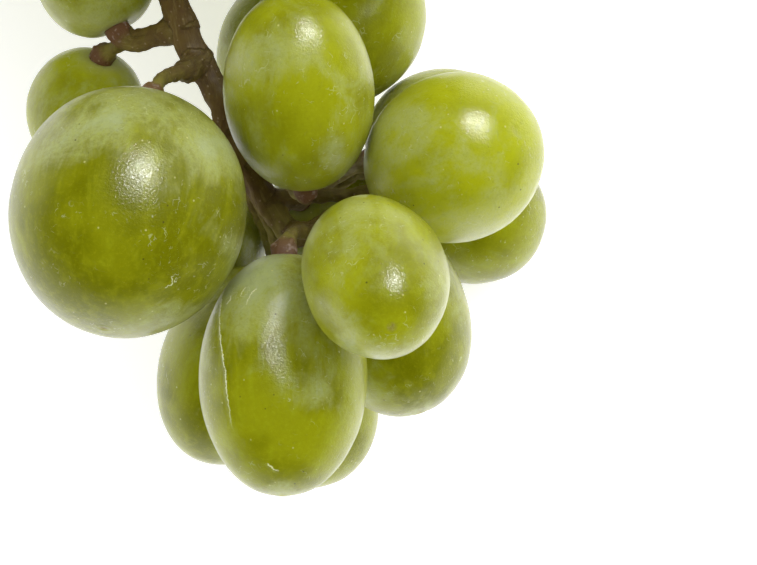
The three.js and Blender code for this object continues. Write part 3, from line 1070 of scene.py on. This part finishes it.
def make_stem(settings, material):
    """The stem as one piece: its bars remeshed into one skin, eased and roughened by noise."""
    skeleton = stem_skeleton(read_berries())
    piece = new_piece("grape_stem", np.concatenate(skeleton.points), skeleton.faces, material)
    remesh = piece.modifiers.new("grow together", "REMESH")
    remesh.mode = "VOXEL"
    remesh.voxel_size = settings.voxel
    easing = piece.modifiers.new("ease", "SMOOTH")
    easing.factor = 0.5
    easing.iterations = 3
    finished = piece.evaluated_get(bpy.context.evaluated_depsgraph_get())
    grown = bpy.data.meshes.new_from_object(finished)
    piece.modifiers.clear()
    old = piece.data
    piece.data = grown
    bpy.data.meshes.remove(old)
    grown.name = "grape_stem"
    if not len(grown.polygons):
        raise RuntimeError("the stem's bars didn't grow together")

    count = len(grown.vertices)
    flat = np.empty(count * 3, np.float32)
    grown.vertices.foreach_get("co", flat)
    points = flat.reshape(-1, 3).astype(float) / MM
    grown.vertices.foreach_get("normal", flat)
    normals = flat.reshape(-1, 3).astype(float)
    rings = np.concatenate(skeleton.rings)
    ring = rings[nearest_rings(points, rings)]
    way = ring[:, 3:6]
    length, woody, pad_gap = ring[:, 6:].T
    away = points - ring[:, :3]
    along = (away * way).sum(1)
    around = away - way * along[:, None]
    fibre = around + ((length + along) * 0.16)[:, None]

    bark = np.zeros(count)
    reliefs = (fibre, RIDGES), (points, KNOBS), (points, GRAINS)
    for seed, (where, (height, size)) in enumerate(reliefs, 5):
        bark += height * cloud(where, size, seed)
    warts = WART_HEIGHT * smooth(0.45, 0.8, cloud(points, WART_SIZE, 8))
    pad = smooth(2.6, 1.2, pad_gap)
    rise = bark + warts * (0.4 + 0.6 * pad)
    rise = np.where(pad_gap < 0.8, 0.3 * rise, rise)
    cut = smooth(*CUT_END, points[:, 1])
    points = points + normals * (rise * (1 - cut))[:, None]
    grown.vertices.foreach_set("co", (points * MM).astype(np.float32).ravel())
    grown.polygons.foreach_set("use_smooth", np.ones(len(grown.polygons), bool))
    note(grown, "fibre", fibre)
    note(grown, "woody", woody)
    note(grown, "pad", pad)
    note(grown, "cut", cut * smooth(2.3, 1.9, np.linalg.norm(around, axis=1)))
    grown.update()
    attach(piece, BODY)
    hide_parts("stem")


class GRAPES_OT_stem(Operator):
    """Make the stem with its side branches and stalks"""

    bl_idname = "grapes.stem"
    bl_label = "Stem"

    def execute(self, context):
        settings = context.scene.grape_stem
        make_stem(settings, shared_material("stem bark", stem_material, settings))
        return {"FINISHED"}


# --------------------------------------------------------------------------------------------------
# Studio
# --------------------------------------------------------------------------------------------------


# The lights' sides and places in metres, the places measured from under the camera on the floor.
GLEAM_SIDE, GLEAM_PLACE = 0.11, (0.18, 0.36, 0.45)
SOFTBOX_SIDE, SOFTBOX_PLACE = 0.9, (0.3, 0.42, 0.66)
TARGET_HEIGHT = 0.035
NEAREST_SEEN = 0.01


def add_light(name, side, place, power, aim):
    """A square soft light at a place beside the aim, facing the middle of the bunch over it."""
    target = np.array((*aim, TARGET_HEIGHT))
    place = np.array((aim[0] + place[0], aim[1] + place[1], place[2]))
    light = bpy.data.lights.new(name, "AREA")
    light.shape = "SQUARE"
    light.size = side
    light.energy = power
    lamp = bpy.data.objects.new(name, light)
    bpy.context.scene.collection.objects.link(lamp)
    way = unit(target - place)
    lamp.location = place
    lamp.rotation_euler = (math.acos(-way[2]), 0, math.atan2(way[1], way[0]) - math.pi / 2)
    return lamp


class GRAPES_OT_studio(Operator):
    """Make the camera, the floor and the lights"""

    bl_idname = "grapes.studio"
    bl_label = "Studio"

    def execute(self, context):
        settings = context.scene.grape_studio
        scene = context.scene
        scene.view_settings.view_transform = "Standard"
        camera = bpy.data.cameras.new("camera")
        camera.lens = settings.lens
        camera.clip_start = NEAREST_SEEN
        eye = bpy.data.objects.new("camera", camera)
        eye.location = (*settings.aim, settings.height)
        scene.collection.objects.link(eye)
        scene.camera = eye

        side = settings.floor_side / MM / 2
        corners = np.array([[-side, -side, 0], [side, -side, 0], [side, side, 0], [-side, side, 0]])
        floor = new_piece("floor", corners, [[0, 1, 2, 3]], floor_material(settings))

        world = bpy.data.worlds.new("white room")
        scene.world = world
        world.use_nodes = True
        background = world.node_tree.nodes["Background"]
        background.inputs["Color"].default_value = WHITE
        background.inputs["Strength"].default_value = settings.surround
        world.cycles_visibility.glossy = False

        gleam = add_light("gleam", GLEAM_SIDE, GLEAM_PLACE, settings.gleam, settings.aim)
        gleam.visible_diffuse = False
        key = add_light("softbox", SOFTBOX_SIDE, SOFTBOX_PLACE, settings.softbox, settings.aim)
        key.visible_glossy = False
        return {"FINISHED"}


# --------------------------------------------------------------------------------------------------
# Add-on
# --------------------------------------------------------------------------------------------------

OPERATORS = (GRAPES_OT_studio, GRAPES_OT_lower_berries, GRAPES_OT_upper_berries, GRAPES_OT_stem)


class GRAPES_PT_panel(Panel):
    """Lists the steps that make the bunch."""

    bl_idname = "GRAPES_PT_panel"
    bl_label = "Bunch of grapes"
    bl_space_type = "VIEW_3D"
    bl_region_type = "UI"
    bl_category = "Grapes"

    def draw(self, context):
        for step in OPERATORS:
            self.layout.operator(step.bl_idname)
        for group, settings in SETTINGS.items():
            box = self.layout.box()
            for name in settings.__annotations__:
                box.prop(getattr(context.scene, group), name)


SETTINGS = {
    "grape_berries": BerrySettings,
    "grape_stem": StemSettings,
    "grape_studio": StudioSettings,
}
CLASSES = (*SETTINGS.values(), *OPERATORS, GRAPES_PT_panel)


def register():
    for made in CLASSES:
        bpy.utils.register_class(made)
    for name, settings in SETTINGS.items():
        setattr(bpy.types.Scene, name, PointerProperty(type=settings))


def unregister():
    for name in SETTINGS:
        delattr(bpy.types.Scene, name)
    for made in reversed(CLASSES):
        bpy.utils.unregister_class(made)


def main():
    register()
    bpy.ops.grapes.studio()
    bpy.ops.grapes.lower_berries()
    bpy.ops.grapes.upper_berries()
    bpy.ops.grapes.stem()


if __name__ == "__main__":
    main()
